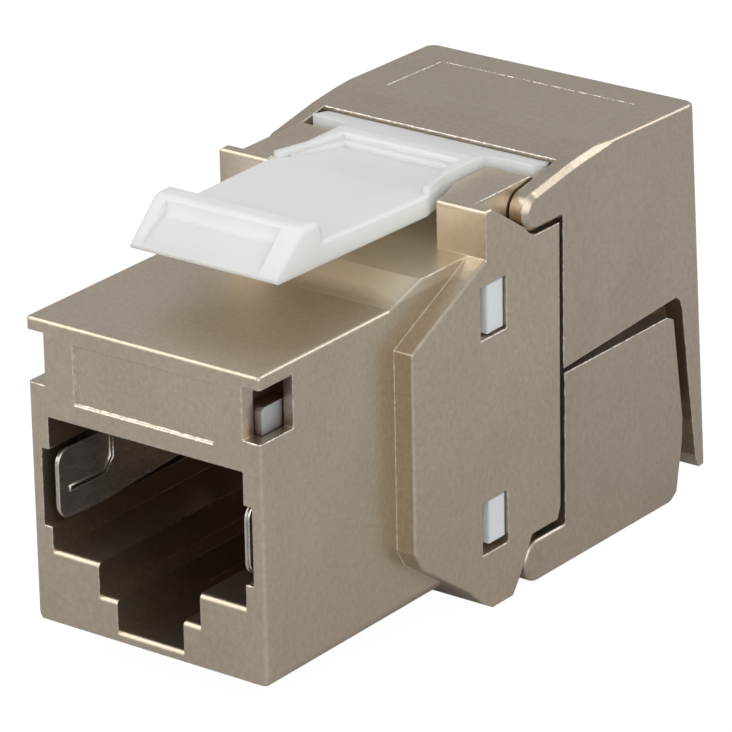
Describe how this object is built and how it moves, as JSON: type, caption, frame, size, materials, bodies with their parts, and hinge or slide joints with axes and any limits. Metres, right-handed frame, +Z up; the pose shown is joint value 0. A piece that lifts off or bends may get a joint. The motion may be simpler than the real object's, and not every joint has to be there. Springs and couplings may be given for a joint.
{
  "type": "keystone jack",
  "caption": "Shielded RJ45 keystone jack: a die-cast port body with a white snap latch on top and hinged rear covers that close over the wire terminals.",
  "frame": {"origin": "middle of the footprint, on the surface the jack stands on", "axes": "+Y from the port at the front to the cable entry at the rear, +Z up towards the snap latch, +X to the right seen from the front"},
  "size_m": [0.0172, 0.037, 0.0231],
  "materials": {
    "nickel_zinc": "satin nickel on zinc casting",
    "white_plastic": "slightly translucent satin",
    "board_green": "solder mask",
    "spring_steel": "bright sheet metal",
    "gold_contact": "gold flash",
    "tinned_bronze": "tinned"
  },
  "bodies": {
    "housing": {"front_housing": "nickel_zinc", "contact_carrier": "white_plastic", "circuit_board": "board_green", "idc_block": "white_plastic", "idc_terminal_1": "tinned_bronze", "idc_terminal_2": "tinned_bronze", "idc_terminal_3": "tinned_bronze", "idc_terminal_4": "tinned_bronze", "idc_terminal_5": "tinned_bronze", "idc_terminal_6": "tinned_bronze", "idc_terminal_7": "tinned_bronze", "idc_terminal_8": "tinned_bronze"},
    "latch": {"snap_latch": "white_plastic"},
    "plug_contacts": {"plug_contact_1": "gold_contact", "plug_contact_2": "gold_contact", "plug_contact_3": "gold_contact", "plug_contact_4": "gold_contact", "plug_contact_5": "gold_contact", "plug_contact_6": "gold_contact", "plug_contact_7": "gold_contact", "plug_contact_8": "gold_contact"},
    "right_spring": {"shield_spring_right": "spring_steel"},
    "left_spring": {"shield_spring_left": "spring_steel"},
    "top_flap": {"upper_cover": "nickel_zinc", "wire_holder_upper": "white_plastic"},
    "bottom_flap": {"lower_cover": "nickel_zinc", "wire_holder_lower": "white_plastic"}
  },
  "joints": [
    {"name": "upper_cover_hinge", "type": "hinge", "parent": "housing", "child": "top_flap", "pos_m": [0, 0.003, 0.0203], "axis": [1, 0, 0], "range_deg": [0, 100]},
    {"name": "lower_cover_hinge", "type": "hinge", "parent": "housing", "child": "bottom_flap", "pos_m": [0, 0.00285, 0.00115], "axis": [-1, 0, 0], "range_deg": [0, 100]},
    {"name": "latch_flex", "type": "hinge", "parent": "housing", "child": "latch", "pos_m": [0, 0.0055, 0.02085], "axis": [1, 0, 0], "range_deg": [0, 7], "stiffness_Nm_per_rad": 0.8},
    {"name": "contact_lift", "type": "hinge", "parent": "housing", "child": "plug_contacts", "pos_m": [0, -0.0158, 0.01405], "axis": [1, 0, 0], "range_deg": [0, 10], "stiffness_Nm_per_rad": 0.35},
    {"name": "right_spring_flex", "type": "hinge", "parent": "housing", "child": "right_spring", "pos_m": [0.00636, -0.0062, 0.0093], "axis": [0, 0, 1], "range_deg": [0, 2], "stiffness_Nm_per_rad": 0.75},
    {"name": "left_spring_flex", "type": "hinge", "parent": "housing", "child": "left_spring", "pos_m": [-0.00636, -0.0062, 0.0093], "axis": [0, 0, -1], "range_deg": [0, 2], "stiffness_Nm_per_rad": 0.75}
  ],
  "couplings": [
    {"joint": "lower_cover_hinge", "follows": "upper_cover_hinge", "ratio": 1}
  ]
}
